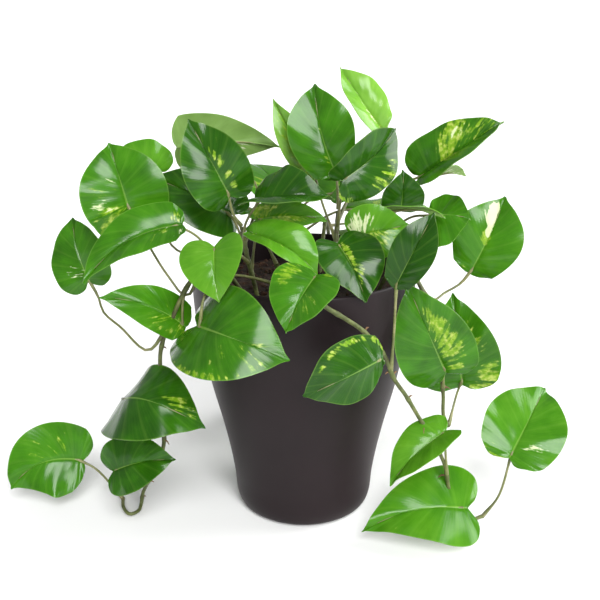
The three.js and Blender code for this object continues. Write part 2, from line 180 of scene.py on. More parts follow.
# How each stem's leaves are coloured, in their order above. tone runs from 0, the dark green of an
# old leaf, to 1, the light green of a young one. Each gold or pale streak is (vein, side, breadth,
# reach, strength): vein runs from 0 at the stalk to 1 at the tip and side from -1 to 1 across the
# midrib, with the positive side on the left of someone looking from the stalk to the tip. breadth is
# the streak's half size along the midrib and reach the one across it. wave scales the margin's waves
# and the hanging tip, which are weak where blades lie close together.
PLAIN = dict(tone=0.4, gold=[], pale=[], wave=1)
LOOKS = {
    "centre_stem": [
        dict(tone=0.4, gold=[(0.55, 0.08, 0.3, 0.06, 0.6)]),
        dict(tone=0.86, gold=[(0.5, 0.1, 0.35, 0.16, 0.9), (0.3, -0.5, 0.3, 0.4, 0.5)],
             pale=[(0.6, 0.22, 0.3, 0.16, 0.8)]),
        dict(tone=0.14, gold=[(0.6, -0.8, 0.15, 0.25, 0.75), (0.25, -0.9, 0.15, 0.15, 0.8)]),
        dict(tone=0.9, gold=[(0.4, 0.3, 0.6, 0.5, 0.9)]),
        dict(tone=0.1, gold=[(0.55, 0.12, 0.25, 0.1, 1.1), (0.8, 0.3, 0.1, 0.2, 0.8)]),
    ],
    "left_stem": [
        dict(tone=0.22, gold=[(0.6, -0.28, 0.3, 0.16, 0.85)]),
        dict(tone=0.1),
        dict(tone=0.6, pale=[(0.8, 0.3, 0.2, 0.5, 0.7)]),
        dict(tone=0.2),
        dict(tone=0.64, wave=0.15, pale=[(0.95, 0.0, 0.1, 0.5, 0.7)]),
        dict(tone=0.6,
             gold=[(0.4, 0.4, 0.2, 0.5, 1.0), (0.7, -0.3, 0.15, 0.5, 1.0), (0.25, -0.5, 0.2, 0.4, 0.9)]),
    ],
    "front_stem": [
        dict(tone=0.6, gold=[(0.5, -0.4, 0.3, 0.3, 0.4)]),
        dict(tone=0.42,
             gold=[(0.2, 0.7, 0.12, 0.3, 0.7), (0.42, -0.7, 0.2, 0.3, 0.9), (0.75, 0.5, 0.15, 0.4, 0.5)]),
        dict(tone=0.34, wave=0,
             gold=[(0.78, -0.6, 0.12, 0.5, 0.5), (0.9, 0.4, 0.06, 0.4, 0.5),
                   (0.12, -0.9, 0.12, 0.2, 0.7), (0.55, -0.95, 0.2, 0.08, 0.8)]),
    ],
    "right_stem": [
        dict(tone=0.32, gold=[(0.66, 0.5, 0.09, 0.7, 1.05), (0.85, 0.6, 0.15, 0.5, 0.8)],
             pale=[(0.7, 0.7, 0.06, 0.3, 0.7)]),
        dict(tone=1.0, pale=[(0.5, 0.0, 0.8, 1.0, 0.8)]),
        dict(tone=0.15),
        dict(tone=0.35),
        dict(tone=0.7, pale=[(0.5, 0.4, 0.4, 0.4, 0.5)]),
        dict(tone=0.6, gold=[(0.6, -0.3, 0.3, 0.5, 0.9)], pale=[(0.4, 0.4, 0.25, 0.5, 1.0)]),
    ],
    "left_runner": [
        dict(tone=0.38, gold=[(0.3, -0.4, 0.12, 0.4, 0.85), (0.5, 0.4, 0.08, 0.4, 0.5)],
             pale=[(0.2, 0.7, 0.2, 0.3, 0.7), (0.5, 0.1, 0.3, 0.08, 0.6)]),
        dict(tone=0.4, gold=[(0.35, 0.5, 0.12, 0.45, 0.9), (0.6, 0.5, 0.08, 0.4, 0.5)],
             pale=[(0.45, 0.5, 0.14, 0.5, 0.6), (0.7, 0.4, 0.1, 0.4, 0.5)]),
        dict(tone=0.32, pale=[(0.5, 0.3, 0.12, 0.4, 0.7)]),
        dict(tone=0.46, gold=[(0.4, 0.4, 0.3, 0.6, 0.65)]),
        dict(tone=0.22, gold=[(0.85, 0.6, 0.1, 0.4, 0.8), (0.45, 0.5, 0.08, 0.5, 0.6)]),
        dict(tone=0.24),
        dict(tone=0.4, gold=[(0.6, -0.4, 0.2, 0.4, 0.4)]),
        dict(tone=0.6),
    ],
    "front_runner": [
        dict(tone=0.1),
        dict(tone=0.14, gold=[(0.3, -0.85, 0.3, 0.16, 1.1), (0.6, -0.85, 0.2, 0.1, 0.9)]),
        dict(tone=0.6),
        dict(tone=0.52),
        dict(tone=0.5, gold=[(0.15, 0.9, 0.2, 0.15, 0.9)], pale=[(0.5, -0.5, 0.06, 0.5, 0.75)]),
    ],
    "right_runner": [
        dict(tone=0.45, gold=[(0.76, 0.12, 0.06, 0.2, 1.2), (0.3, 0.6, 0.1, 0.4, 0.5)],
             pale=[(0.86, 0.45, 0.07, 0.5, 1.5), (0.8, 0.15, 0.05, 0.2, 1.3)]),
        dict(tone=0.36, gold=[(0.64, -0.4, 0.24, 0.36, 1.0), (0.4, -0.35, 0.16, 0.26, 0.85)]),
        dict(tone=0.36, gold=[(0.3, -0.7, 0.25, 0.4, 0.9), (0.7, -0.5, 0.15, 0.4, 0.6)]),
    ],
    "back_stem": [
        dict(tone=0.5, wave=0.15, gold=[(0.5, 0.3, 0.12, 0.5, 0.9)]),
        dict(tone=0.5, wave=0.15, gold=[(0.6, -0.4, 0.12, 0.5, 0.9)]),
        dict(tone=0.35, gold=[(0.4, 0.5, 0.1, 0.4, 0.8)]),
        dict(tone=0.6, gold=[(0.6, 0.2, 0.15, 0.4, 0.8)]),
    ],
    "back_runner": [
        dict(tone=0.4, gold=[(0.5, -0.3, 0.12, 0.5, 0.9)]),
        dict(tone=0.3, pale=[(0.6, 0.5, 0.12, 0.4, 0.8)]),
        dict(tone=0.5, gold=[(0.3, 0.4, 0.12, 0.5, 0.9)]),
        dict(tone=0.42),
        dict(tone=0.75, gold=[(0.5, 0.0, 0.3, 0.3, 0.8)]),
    ],
}

# ---- curves ----

EVEN_KNOTS = 0  # for a curve whose points are about evenly spaced
ROUND_KNOTS = 0.5  # for uneven spacing, so that the curve doesn't overshoot where points lie close
WALK_SAMPLES = 300  # places at which a curve is measured before it is walked evenly


def spline_point(points, share, knots):
    """Point at a share of the smooth curve through points."""
    place = share * (len(points) - 1)
    first = min(int(place), len(points) - 2)
    w = place - first
    p1 = points[first]
    p2 = points[first + 1]
    p0 = points[first - 1] if first > 0 else 2 * p1 - p2
    p3 = points[first + 2] if first + 2 < len(points) else 2 * p2 - p1
    d0 = (p1 - p0).length ** knots
    d1 = (p2 - p1).length ** knots
    d2 = (p3 - p2).length ** knots
    leave = ((p1 - p0) / d0 - (p2 - p0) / (d0 + d1) + (p2 - p1) / d1) * d1
    arrive = ((p2 - p1) / d1 - (p3 - p1) / (d1 + d2) + (p3 - p2) / d2) * d1
    bend = 3 * (p2 - p1) - 2 * leave - arrive
    twist = 2 * (p1 - p2) + leave + arrive
    return p1 + leave * w + bend * w * w + twist * w ** 3


def even_walk(points, steps):
    """Points at even distances along the smooth curve through points."""
    fine = [spline_point(points, i / WALK_SAMPLES, ROUND_KNOTS) for i in range(WALK_SAMPLES + 1)]
    along = [0.0]
    for a, b in zip(fine, fine[1:]):
        along.append(along[-1] + (b - a).length)
    walk = []
    seek = 0
    for step in range(steps + 1):
        wanted = along[-1] * step / steps
        while seek < len(fine) - 2 and along[seek + 1] < wanted:
            seek += 1
        share = (wanted - along[seek]) / (along[seek + 1] - along[seek])
        walk.append(fine[seek].lerp(fine[seek + 1], share))
    return walk


def smooth_step(low, high, value):
    """0 at low and 1 at high, with a soft start and end; high may lie below low."""
    t = min(max((value - low) / (high - low), 0), 1)
    return t * t * (3 - 2 * t)


# ---- joined and kept pieces ----


def join(name, pieces):
    """Joins pieces into the first of them and names it."""
    bpy.ops.object.select_all(action="DESELECT")
    for piece in pieces:
        piece.select_set(True)
    bpy.context.view_layer.objects.active = pieces[0]
    bpy.ops.object.join()
    pieces[0].name = name
    return pieces[0]


def keep(piece, node):
    """Ties a piece to the plant's body and hides the solid that it stands for."""
    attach(piece, "root")
    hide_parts(node)


# ---- leaf blades ----

# Half of a blade's margin, from the notch at the stalk to the tip: a share of the blade's length,
# then a share of its half width.
BLADE_MARGIN = [Vector((along, across, 0)) for along, across in [
    (0.0, 0.02), (-0.09, 0.21), (-0.13, 0.48), (-0.09, 0.73), (0.04, 0.92), (0.25, 1.0),
    (0.47, 0.93), (0.68, 0.7), (0.86, 0.34), (0.95, 0.1), (1.0, 0.012),
]]
BLADE_THICKNESS = 0.5
BLADE_STATIONS = 64  # faces from the stalk to the tip
BLADE_BREADTHS = 36  # faces from margin to margin
BLADE_CREASE = 50  # degrees; only the margin is sharper
SHOULDER_ROUNDING = 0.1  # how far a blade without lobes curves in, as a share of its length
FOLD_AT_MIDRIB = 1.3  # a blade folds most at its midrib
FOLD_EASING = 0.6  # and this much less at its margin
VEIN_SLANT = 2.8  # how strongly the side veins lean towards the tip
VEIN_BOW = 1.15  # above 1, a side vein leaves the midrib squarer and bows towards the tip
VEIN_SPACING = 1.6  # below VEIN_SLANT, the side veins stand closer together near the stalk
SIDE_VEINS = 8  # sunken side veins in each half of a blade
QUILTING = 0.1  # depth of the side veins below the flesh between them
UNEVEN_VEINS = 0.03  # how far a side vein strays, as a share of the blade
MIDRIB_DEPTH = 0.5
MIDRIB_GROOVE = 1.3  # half width of the groove over the midrib
MARGIN_WAVE = 1.3  # height of the margin's waves on a blade of the usual width
USUAL_WIDTH = 60
LONG_WAVES = 2.3  # waves along the margin
SHORT_WAVES = 5.1
SHORT_WAVE_HEIGHT = 0.6  # as a share of a long one's
TIP_HANG = 2.1  # how far the drip tip hangs
PATCH_EDGE = 0.7  # the more, the sharper a gold or pale patch ends


def blade_axes(leaf):
    base = Vector(leaf["base"])
    along = Vector(leaf["tip"]) - base
    length = along.length
    along.normalize()
    face = Vector(leaf["face"])
    up = (face - face.project(along)).normalized()
    return dict(base=base, along=along, across=up.cross(along), up=up, length=length)


def blade_point(leaf, axes, vein, side, lift=0.0):
    """Place on the blade: vein from 0 at the stalk to 1 at the tip, side from -1 to 1."""
    edge = spline_point(BLADE_MARGIN, vein, EVEN_KNOTS)
    rounding = SHOULDER_ROUNDING * (1 - leaf["lobe"]) * (edge.y * (1 - edge.x)) ** 2
    edge.x = rounding + min(edge.x, 0) * leaf["lobe"] + max(edge.x, 0)
    reach = abs(side)
    lean = reach ** VEIN_BOW
    x = vein ** VEIN_SLANT * (1 - lean) + edge.x * lean
    half = edge.y * reach * leaf["width"] / 2 * (1 + leaf["broaden"] * (edge.x - 0.5))
    fold = math.radians(leaf["fold"]) * (FOLD_AT_MIDRIB - FOLD_EASING * reach)
    flat = math.copysign(half * math.cos(fold), side)
    bulge = 4 * axes["length"] * x * (1 - x)
    turn = math.atan(4 * leaf["sweep"] * (1 - 2 * x))
    return (axes["base"]
            + axes["along"] * (x * axes["length"] - flat * math.sin(turn))
            + axes["across"] * (leaf["sweep"] * bulge + flat * math.cos(turn))
            + axes["up"] * (leaf["arch"] * bulge + half * math.sin(fold) + lift))


def blade_relief(leaf, look, vein, side, wander):
    """Height of the living surface over the plain blade: veins, midrib, wavy margin, hanging tip."""
    reach = abs(side)
    uneven = UNEVEN_VEINS * math.sin(2 * math.pi * (1.7 * vein + 3 * wander + 0.3 * side))
    quilt = QUILTING * math.cos(2 * math.pi * SIDE_VEINS * (vein ** VEIN_SPACING + uneven))
    # The side veins fade at the midrib, at the margin and near the tip.
    quilt *= smooth_step(0.03, 0.2, reach) * smooth_step(1, 0.8, reach) * smooth_step(1, 0.85, vein)
    midrib = MIDRIB_DEPTH * math.exp(-(reach * leaf["width"] / 2 / MIDRIB_GROOVE) ** 2)
    long_wave = math.sin(2 * math.pi * (LONG_WAVES * vein + wander))
    short_wave = SHORT_WAVE_HEIGHT * math.sin(2 * math.pi * (SHORT_WAVES * vein - 2 * wander))
    height = MARGIN_WAVE * leaf["width"] / USUAL_WIDTH * reach ** 2 * math.copysign(1, side)
    hang = TIP_HANG * smooth_step(0.8, 1, vein)
    return look["wave"] * (height * (long_wave + short_wave) - hang) - quilt - midrib


def patch_strength(patches, vein, side):
    """How gold or pale the blade is at a place: the strongest of the patches there."""
    strongest = 0.0
    for middle, centre, breadth, reach, strength in patches:
        away = ((vein - middle) / breadth) ** 2 + ((side - centre) / reach) ** 2
        strongest = max(strongest, strength * math.exp(-away * away * PATCH_EDGE))
    return strongest


def add_blade(leaf, look, wander):
    """A blade whose mesh runs along its veins, with its colours kept in the attribute paint."""
    bpy.ops.object.select_all(action="DESELECT")
    bpy.ops.mesh.primitive_grid_add(
        x_subdivisions=BLADE_STATIONS, y_subdivisions=BLADE_BREADTHS, size=2)
    blade = bpy.context.object
    axes = blade_axes(leaf)
    paint = blade.data.attributes.new("paint", "FLOAT_COLOR", "POINT")
    for vertex, dab in zip(blade.data.vertices, paint.data):
        vein = (vertex.co.x + 1) / 2
        side = vertex.co.y
        gold = patch_strength(look["gold"], vein, side)
        pale = patch_strength(look["pale"], vein, side)
        dab.color = (gold, pale, look["tone"], 1)
        lift = blade_relief(leaf, look, vein, side, wander)
        vertex.co = blade_point(leaf, axes, vein, side, lift) * MM
    for mapped in blade.data.uv_layers[0].data:
        mapped.uv.x **= VEIN_SPACING
    blade.data.materials.append(waxy_upper_side)
    blade.data.materials.append(matt_under_side)
    shell = blade.modifiers.new("leaf thickness", "SOLIDIFY")
    shell.thickness = BLADE_THICKNESS * MM
    shell.offset = 0
    shell.material_offset = 1
    bpy.ops.object.modifier_apply(modifier=shell.name)
    bpy.ops.object.shade_smooth_by_angle(angle=math.radians(BLADE_CREASE))
    return blade


# ---- leaf stalks ----

STALK_STEPS = 18
STALK_CLASP = 1.7  # radius where the stalk clasps the vine
STALK_RADIUS = 0.95
STALK_JOINT = 1.35  # radius of the swollen joint under the blade
CLASP_END = 0.35  # share of the stalk at which the clasp has run out
JOINT_START = 0.84
JOINT_FULL = 0.92
KNEE_PLACE = 0.6  # a stalk without via points bends at this share of its way
KNEE_RISE = 0.12  # and rises there by this share of its length
RIB_START = 0.05  # share of the blade's length at which the stalk meets the midrib
RIB_END = 0.85  # and at which the raised midrib underneath runs out
RIB_STEPS = 14
RIB_RADIUS = 1.2
RIB_END_RADIUS = 0.12
RIB_TAPER = 0.7  # below 1, the midrib keeps its thickness longer
RIB_SINK = 0.95  # how far under the groove the midrib's middle lies, as a share of its radius


def add_tube(name, places, radii, material, rings=3):
    """A round stalk through places, with its own radius at each, closed at both ends."""
    bpy.ops.object.select_all(action="DESELECT")
    line = bpy.data.curves.new(name, "CURVE")
    line.dimensions = "3D"
    line.bevel_depth = MM
    line.bevel_resolution = rings
    line.use_fill_caps = True
    route = line.splines.new("POLY")
    route.points.add(len(places) - 1)
    for point, place, radius in zip(route.points, places, radii):
        point.co = (*(place * MM), 1)
        point.radius = radius
    tube = bpy.data.objects.new(name, line)
    bpy.context.collection.objects.link(tube)
    bpy.context.view_layer.objects.active = tube
    tube.select_set(True)
    bpy.ops.object.convert(target="MESH")
    tube = bpy.context.object
    tube.data.materials.append(material)
    bpy.ops.object.shade_smooth()
    return tube


def stalk_places(leaf, axes, walk, stem_radius):
    start = walk[round(leaf["at"] * (len(walk) - 1))].copy()
    end = blade_point(leaf, axes, RIB_START ** (1 / VEIN_SLANT), 0, -MIDRIB_DEPTH)
    via = [Vector(place) for place in leaf["via"]]
    if not via:
        knee = start.lerp(end, KNEE_PLACE)
        knee.z += KNEE_RISE * (end - start).length
        via = [knee]
    start += (via[0] - start).normalized() * stem_radius / 2
    return even_walk([start, *via, end], STALK_STEPS)


def add_stalk(leaf, walk, stem_radius):
    """The stalk, its swollen joint and the midrib that carries on under the blade."""
    axes = blade_axes(leaf)
    places = stalk_places(leaf, axes, walk, stem_radius)
    radii = []
    for i in range(len(places)):
        share = i / STALK_STEPS
        clasp = (STALK_CLASP - STALK_RADIUS) * (1 - smooth_step(0, CLASP_END, share))
        joint = (STALK_JOINT - STALK_RADIUS) * smooth_step(JOINT_START, JOINT_FULL, share)
        radii.append(STALK_RADIUS + clasp + joint)
    for i in range(1, RIB_STEPS + 1):
        share = RIB_START + (RIB_END - RIB_START) * i / RIB_STEPS
        vein = share ** (1 / VEIN_SLANT)
        radius = RIB_RADIUS * (1 - share / RIB_END) ** RIB_TAPER + RIB_END_RADIUS
        places.append(blade_point(leaf, axes, vein, 0, -MIDRIB_DEPTH - RIB_SINK * radius))
        radii.append(radius)
    return add_tube("stalk", places, radii, smooth_green_stalk)


def add_leaf(stem_name, number, leaf, walk, stem_radius):
    node = f"{stem_name}_leaf_{number}"
    look = {**PLAIN, **LOOKS[stem_name][number - 1]}
    # Blades on one stem aren't waved alike.
    wander = (number * 0.37 + len(stem_name) * 0.11) % 1
    blade = add_blade(leaf, look, wander)
    stalk = add_stalk(leaf, walk, stem_radius)
    piece = join(f"living_{node}", [blade, stalk])
    keep(piece, node)


# ---- vines and air roots ----

VINE_STEP = 2.5  # along the vine, between the circles of its mesh
VINE_LEAST_STEPS = 12
VINE_THICKNESS = 0.8  # the real vine's radius as a share of its solid's
VINE_TAPER = 0.15  # how much of that share is lost by its growing end
VINE_NODE_SPACING = 26  # between the rings of a vine
VINE_SWELL = 0.28  # how much thicker a vine is at a ring
RING_BREADTH = 2.2
ROOTS_BELOW = 196  # air roots grow only where a vine runs lower than this
ROOT_FOOT = 0.6  # how far out of the vine's middle a root starts, as a share of its radius
ROOT_RADII = [0.75, 0.6, 0.3]
ROOT_DROOP = Vector((0, 0, -0.8))
LOWEST_ROOT = 1  # a root that would reach down to the table is left off


def add_vine(stem):
    """A stem with a swollen ring at each leaf and between, and short air roots."""
    route = [Vector(place) for place in stem["route"]]
    length = sum((b - a).length for a, b in zip(route, route[1:]))
    steps = max(VINE_LEAST_STEPS, round(length / VINE_STEP))
    places = even_walk(route, steps)
    rings = [leaf["at"] * length for leaf in stem["leaves"]]
    rings += [i * VINE_NODE_SPACING for i in range(1, int(length / VINE_NODE_SPACING))]
    radii = []
    for i in range(len(places)):
        along = length * i / steps
        nearest = min(abs(along - ring) for ring in rings)
        taper = VINE_THICKNESS - VINE_TAPER * i / steps
        swell = VINE_SWELL * math.exp(-(nearest / RING_BREADTH) ** 2)
        radii.append(stem["radius"] * taper * (1 + swell))
    pieces = [add_tube("vine", places, radii, woody_green_vine, rings=4)]
    draw = random.Random(stem["name"])
    for ring in rings:
        spot = min(len(places) - 2, max(1, round(ring / length * steps)))
        if places[spot].z < ROOTS_BELOW:
            add_root(pieces, draw, places, spot, stem["radius"])
    piece = join(f"living_{stem['name']}", pieces)
    keep(piece, stem["name"])
    return places


def add_root(pieces, draw, places, spot, radius):
    """A dry root that leaves the vine square to its run and then droops."""
    along = (places[spot + 1] - places[spot - 1]).normalized()
    out = Vector((draw.uniform(-1, 1), draw.uniform(-1, 1), draw.uniform(-0.8, 0.2)))
    out = (out - out.project(along)).normalized()
    reach = draw.uniform(2.5, 6)
    start = places[spot] + out * radius * ROOT_FOOT
    bend = start + out * reach * 0.6
    tip = bend + (out + ROOT_DROOP) * reach * 0.5
    if tip.z > LOWEST_ROOT:
        pieces.append(add_tube("root", [start, bend, tip], ROOT_RADII, dry_air_root, rings=1))


# ---- pot ----

POT_HEIGHT = 208
POT_WALL = 3
POT_FLOOR = 4
# Radius and height of the outside, from the rounded foot to the upright rim.
POT_OUTSIDE = [Vector((radius, 0, z)) for radius, z in [
    (47, 0), (53, 2.5), (56, 9), (58, 28), (61.5, 50), (67.5, 78), (75, 108), (81, 138),
    (86, 165), (88, 192), (88, 206),
]]
POT_RINGS = 60  # circles of the outside
POT_SIDES = 160  # faces round the pot
POT_CREASE = 40  # degrees
LIP_STEPS = 12
INSIDE_TOP = 200  # heights of the inside's circles, from the lip down to the floor's corner
INSIDE_FOOT = 8
INSIDE_STEP = 12
INSIDE_CORNER = 12  # height at which the wall turns in to the floor
CORNER_ROUNDING = 4


def spin_profile(name, profile):
    """Turns a profile of (radius, 0, z) points about the pot's axis, where it starts and ends."""
    bpy.ops.object.select_all(action="DESELECT")
    mesh = bpy.data.meshes.new(name)
    edges = [(i, i + 1) for i in range(len(profile) - 1)]
    mesh.from_pydata([point * MM for point in profile], edges, [])
    turned = bpy.data.objects.new(name, mesh)
    bpy.context.collection.objects.link(turned)
    bpy.context.view_layer.objects.active = turned
    turned.select_set(True)
    bpy.ops.object.mode_set(mode="EDIT")
    bpy.ops.mesh.select_all(action="SELECT")
    bpy.ops.mesh.spin(steps=POT_SIDES, angle=2 * math.pi, center=(0, 0, 0), axis=(0, 0, 1))
    bpy.ops.mesh.select_all(action="SELECT")
    bpy.ops.mesh.remove_doubles(threshold=0.01 * MM)
    bpy.ops.mesh.normals_make_consistent(inside=False)
    bpy.ops.object.mode_set(mode="OBJECT")
    bpy.ops.object.shade_smooth_by_angle(angle=math.radians(POT_CREASE))
    return turned


def outside_radius(height):
    for low, high in zip(POT_OUTSIDE, POT_OUTSIDE[1:]):
        if height <= high.z:
            return low.x + (high.x - low.x) * (height - low.z) / (high.z - low.z)
    return POT_OUTSIDE[-1].x


def add_pot():
    """The pot's shell: up the outside, over the rounded lip, down the inside and along the floor."""
    outside = [spline_point(POT_OUTSIDE, i / POT_RINGS, ROUND_KNOTS) for i in range(POT_RINGS + 1)]
    round_lip = POT_WALL / 2
    middle = Vector((POT_OUTSIDE[-1].x - round_lip, 0, POT_HEIGHT - round_lip))
    angles = [math.pi * i / LIP_STEPS for i in range(1, LIP_STEPS)]
    lip = [middle + Vector((math.cos(a), 0, math.sin(a))) * round_lip for a in angles]
    heights = range(INSIDE_TOP, INSIDE_FOOT, -INSIDE_STEP)
    inside = [Vector((outside_radius(z) - POT_WALL, 0, z)) for z in heights]
    floor_radius = outside_radius(INSIDE_CORNER) - POT_WALL - CORNER_ROUNDING
    floor = [Vector((floor_radius, 0, POT_FLOOR)), Vector((0, 0, POT_FLOOR))]
    pot = spin_profile("moulded_pot", [Vector((0, 0, 0)), *outside, *lip, *inside, *floor])
    pot.data.materials.append(moulded_brown_plastic)
    keep(pot, "pot")


# ---- potting soil ----

SOIL_TOP = 190
SOIL_MOUND = 4  # how much lower the soil is at the wall than in the middle
SOIL_EDGE = POT_WALL + 0.9  # from the pot's outside to the soil
SOIL_FOOT = Vector((47, 0, POT_FLOOR + 0.3))  # edge of the soil's underside
SOIL_SIDE = range(20, SOIL_TOP - SOIL_MOUND, 12)  # heights of the soil's side
SOIL_RINGS = 44  # circles of the soil's top
LUMP_SIZE = 9
LUMP_HEIGHT = 2.2
GRAIN_SIZE = 2.2
GRAIN_HEIGHT = 1.2
CRUMB_COUNT = 420
CRUMB_SEED = 7
CRUMB_MARGIN = 3  # the crumbs keep this far from the soil's edge


def soil_height(edge, distance):
    return SOIL_TOP - SOIL_MOUND * (distance / edge) ** 3


def add_soil():
    """The bed of soil, mounded in the middle, with lumps and grains over its top."""
    edge = outside_radius(SOIL_TOP) - SOIL_EDGE
    side = [Vector((outside_radius(z) - SOIL_EDGE, 0, z)) for z in SOIL_SIDE]
    top = []
    for i in range(SOIL_RINGS + 1):
        distance = edge * (1 - i / SOIL_RINGS)
        top.append(Vector((distance, 0, soil_height(edge, distance))))
    middle = Vector((0, 0, SOIL_FOOT.z))
    soil = spin_profile("soil_bed", [middle, SOIL_FOOT, *side, *top])
    for vertex in soil.data.vertices:
        place = vertex.co / MM
        if place.z > SOIL_TOP - SOIL_MOUND - 1:
            # Lumps of five sizes, each 2.1 times finer than the last and about half as high.
            lumps = noise.fractal(place / LUMP_SIZE, 0.9, 2.1, 5)
            grains = noise.noise(place / GRAIN_SIZE)
            vertex.co.z += (LUMP_HEIGHT * lumps + GRAIN_HEIGHT * grains) * MM
    soil.data.materials.append(damp_peat)
    keep(soil, "potting_soil")
    add_crumbs(edge)


def shape_crumb(crumb, draw, edge):
    """Gives a crumb its own size, place, turn and knocked corners."""
    size = draw.uniform(0.6, 2.6)
    distance = (edge - CRUMB_MARGIN) * math.sqrt(draw.random())
    turn = draw.uniform(0, 2 * math.pi)
    height = soil_height(edge, distance) + draw.uniform(-0.4, 1.2)
    middle = Vector((distance * math.cos(turn), distance * math.sin(turn), height))
    spin = Vector((draw.uniform(-1, 1), draw.uniform(-1, 1), draw.uniform(-1, 1)))
    twist = spin.to_track_quat("Z", "Y").to_matrix()
    shape = Vector((draw.uniform(0.6, 1.5), draw.uniform(0.5, 1), draw.uniform(0.4, 0.8))) * size
    for vertex in crumb.data.vertices:
        corner = vertex.co / MM * (1 + draw.uniform(-0.25, 0.25))
        vertex.co = (twist @ (corner * shape) + middle) * MM


def add_crumbs(edge):
    """Loose bark and peat crumbs on the soil, modelled once and copied."""
    draw = random.Random(CRUMB_SEED)
    bpy.ops.object.select_all(action="DESELECT")
    bpy.ops.mesh.primitive_ico_sphere_add(subdivisions=1, radius=MM)
    pattern = bpy.context.object
    crumbs = []
    for _ in range(CRUMB_COUNT):
        crumb = pattern.copy()
        crumb.data = pattern.data.copy()
        bpy.context.collection.objects.link(crumb)
        shape_crumb(crumb, draw, edge)
        crumbs.append(crumb)
    bpy.data.objects.remove(pattern)
    piece = join("soil_crumbs", crumbs)
    piece.data.materials.append(composted_bark)
    keep(piece, "potting_soil")


# ---- materials ----


def linear(code):
    """Linear colour of an sRGB hex code."""
    parts = [int(code[i:i + 2], 16) / 255 for i in (1, 3, 5)]
    return (*(c / 12.92 if c <= 0.04045 else ((c + 0.055) / 1.055) ** 2.4 for c in parts), 1)


def ramp(*stops):
    """Stops of a colour ramp, from pairs of a place and an sRGB hex code."""
    return [(place, linear(code)) for place, code in stops]


def patches_of(size):
    """A noise texture's scale on Object coordinates that gives patches of a size in millimetres."""
    return 1 / (size * MM)


def new_material(name):
    material = bpy.data.materials.new(name)
    material.use_nodes = True
    material.node_tree.nodes.clear()
    return material


def add_node(material, kind, sockets=None, stops=None, **settings):
    """Adds a node and returns its outputs. sockets names what feeds each input: a value or an output."""
    made = material.node_tree.nodes.new("ShaderNode" + kind)
    for setting, value in settings.items():
        setattr(made, setting, value)
    if stops:
        elements = made.color_ramp.elements
        while len(elements) < len(stops):
            elements.new(1)
        for element, (place, colour) in zip(elements, stops):
            element.position = place
            element.color = colour
    for socket, value in (sockets or {}).items():
        if isinstance(value, bpy.types.NodeSocket):
            material.node_tree.links.new(value, made.inputs[socket])
        else:
            made.inputs[socket].default_value = value
    return made.outputs


# Sizes of a blade's patterns. Its UV map runs along the veins: u counts them from the stalk to the
# tip, and v goes from margin to margin.
CLOUD_SIZE = 20.8  # patches of darker and lighter green
FLECK_SIZE = 3.33  # flecks at the edges of gold; real ones are under 1 mm, drawn coarser to show
STREAKS = 30.0  # streaks from the stalk to the tip of a blade, so some 2 mm apart
STREAK_STRETCH = 0.12  # how much slower the streaks change along a vein
FINE_VEINS = 46  # finest side veins; real ones are under 1 mm apart, drawn coarser to show
WAVE_PER_PERIOD = math.pi / 10  # a wave texture's scale that gives one period over a UV map
FINE_RELIEF = 0.12  # height of the finest veins
SIDE_VEIN_GREEN = "#8fbe4a"
MIDRIB_GREEN = "#9fc95c"
MARGIN_GREEN = "#9cc85a"
LIT_THROUGH_GREEN = "#a6d420"


def vein_streaks(material, place):
    """Noise that changes fast from vein to vein and slowly along one, unlike on every blade."""
    combed = add_node(material, "Mapping", {0: place["UV"], "Scale": (1.0, STREAK_STRETCH, 1.0)})
    apart = add_node(material, "VectorMath", {0: combed[0], 1: place["Object"]}, operation="ADD")
    streaks = add_node(
        material, "TexNoise", {"Vector": apart[0], "Scale": STREAKS, "Detail": 4.0, "Roughness": 0.6})
    return streaks["Fac"]


def leaf_green(material, place, tone, streaks, shades):
    """The leaf's own tone of green, cloudy and streaked along the veins."""
    clouds = add_node(
        material, "TexNoise", {"Vector": place["Object"], "Scale": patches_of(CLOUD_SIZE), "Detail": 3.0})
    cloudy = add_node(material, "Math", {0: clouds["Fac"], 1: 0.5, 2: -0.25}, operation="MULTIPLY_ADD")
    streaky = add_node(material, "Math", {0: streaks, 1: 0.2, 2: -0.1}, operation="MULTIPLY_ADD")
    mottle = add_node(material, "Math", {0: cloudy[0], 1: streaky[0]}, operation="ADD")
    mottled = add_node(material, "Math", {0: tone, 1: mottle[0]}, operation="ADD")
    return add_node(material, "ValToRGB", {0: mottled[0]}, stops=shades)[0]


def with_side_veins(material, place, fine_veins, green):
    """The green with a thin paler line on each side vein, and fainter ones on the finest veins."""
    sunken_veins = add_node(
        material, "TexWave",
        {"Vector": place["UV"], "Scale": WAVE_PER_PERIOD * SIDE_VEINS, "Distortion": 0.5, "Detail": 1.0,
         "Detail Scale": 0.6, "Phase Offset": math.pi / 2}, bands_direction="X")
    sunken_line = add_node(
        material, "MapRange",
        {"Value": sunken_veins["Fac"], "From Min": 0.86, "From Max": 1.0, "To Min": 0.0, "To Max": 0.05},
        interpolation_type="SMOOTHSTEP")
    fine_line = add_node(
        material, "MapRange",
        {"Value": fine_veins, "From Min": 0.6, "From Max": 1.0, "To Min": 0.0, "To Max": 0.02},
        interpolation_type="SMOOTHSTEP")
    line = add_node(material, "Math", {0: sunken_line[0], 1: fine_line[0]}, operation="ADD")
    veined = add_node(
        material, "Mix", {"Factor": line[0], 6: green, 7: linear(SIDE_VEIN_GREEN)}, data_type="RGBA")
    return veined[2]


